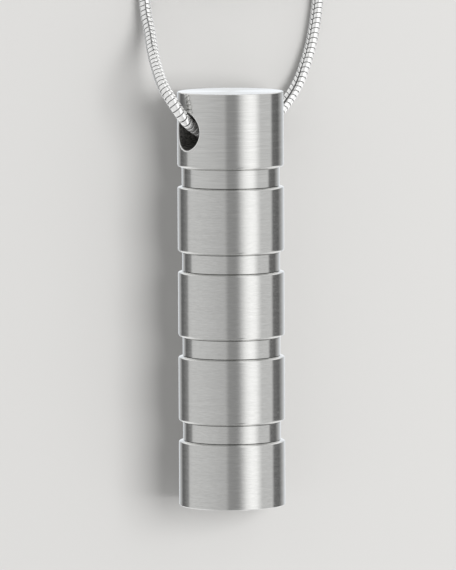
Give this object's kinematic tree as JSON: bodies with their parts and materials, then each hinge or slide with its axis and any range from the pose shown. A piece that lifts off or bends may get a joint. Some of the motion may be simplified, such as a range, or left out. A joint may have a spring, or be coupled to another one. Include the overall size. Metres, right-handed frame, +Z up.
{
  "type": "cryptex pendant",
  "caption": "Slim cylindrical cryptex pendant with plain brushed code bands, an inner vial and a snake chain with a lobster clasp.",
  "frame": {"origin": "middle of the pendant's length, on the surface that it lies on, under its axis", "axes": "+Y along the pendant's axis towards the hanger cap, +Z up out of the surface, +X to the right"},
  "size_m": [0.0362, 0.0924, 0.0135],
  "materials": {
    "band_steel": "fine lines round the axis, satin",
    "gate_brass": "turned",
    "tube_steel": "turned, satin",
    "hard_steel": "ground, bright",
    "screw_steel": "dark, plain",
    "seal_rubber": "matt black",
    "chain_steel": "polished",
    "clasp_steel": "polished"
  },
  "bodies": {
    "pendant": {"hanger_cap": "band_steel", "barrel_tube": "tube_steel", "spacer_collar_1": "band_steel", "spacer_collar_2": "band_steel", "retaining_collar": "band_steel", "collar_grub_screw": "screw_steel", "detent_ball_1": "hard_steel", "detent_ball_2": "hard_steel", "detent_ball_3": "hard_steel", "detent_spring_1": "hard_steel", "detent_spring_2": "hard_steel", "detent_spring_3": "hard_steel", "mouth_seal": "seal_rubber", "chain_left": "chain_steel", "chain_right": "chain_steel", "chain_coil": "chain_steel", "chain_tail_left": "chain_steel", "chain_tail_right": "chain_steel", "chain_end_left": "clasp_steel", "chain_end_right": "clasp_steel", "jump_ring": "clasp_steel", "tail_ring": "clasp_steel", "clasp_body": "clasp_steel", "clasp_pin": "hard_steel", "clasp_spring": "hard_steel"},
    "ring_1": {"ring_shell_1": "band_steel", "gate_ring_1": "gate_brass"},
    "ring_2": {"ring_shell_2": "band_steel", "gate_ring_2": "gate_brass"},
    "ring_3": {"ring_shell_3": "band_steel", "gate_ring_3": "gate_brass"},
    "vial": {"vial_tube": "tube_steel", "vial_pin_1": "hard_steel", "vial_pin_2": "hard_steel", "vial_pin_3": "hard_steel", "vial_o_ring": "seal_rubber", "vial_screw": "screw_steel", "end_cap": "band_steel"},
    "lever": {"clasp_lever": "clasp_steel"}
  },
  "joints": [
    {"name": "ring_1_turn", "type": "hinge", "parent": "pendant", "child": "ring_1", "pos_m": [0, 0.01016, 0.00675], "axis": [0, 1, 0], "continuous": true},
    {"name": "ring_2_turn", "type": "hinge", "parent": "pendant", "child": "ring_2", "pos_m": [0, -0.00064, 0.00675], "axis": [0, 1, 0], "continuous": true},
    {"name": "ring_3_turn", "type": "hinge", "parent": "pendant", "child": "ring_3", "pos_m": [0, -0.01145, 0.00675], "axis": [0, 1, 0], "continuous": true},
    {"name": "vial_slide", "type": "slide", "parent": "pendant", "child": "vial", "axis": [0, -1, 0], "range_m": [0, 0.036]},
    {"name": "clasp_lever_swing", "type": "hinge", "parent": "pendant", "child": "lever", "pos_m": [-0.0001, 0.064, 0.00165], "axis": [0, 0, -1], "range_deg": [0, 22], "stiffness_Nm_per_rad": 0.002, "springref_deg": -17.19}
  ]
}
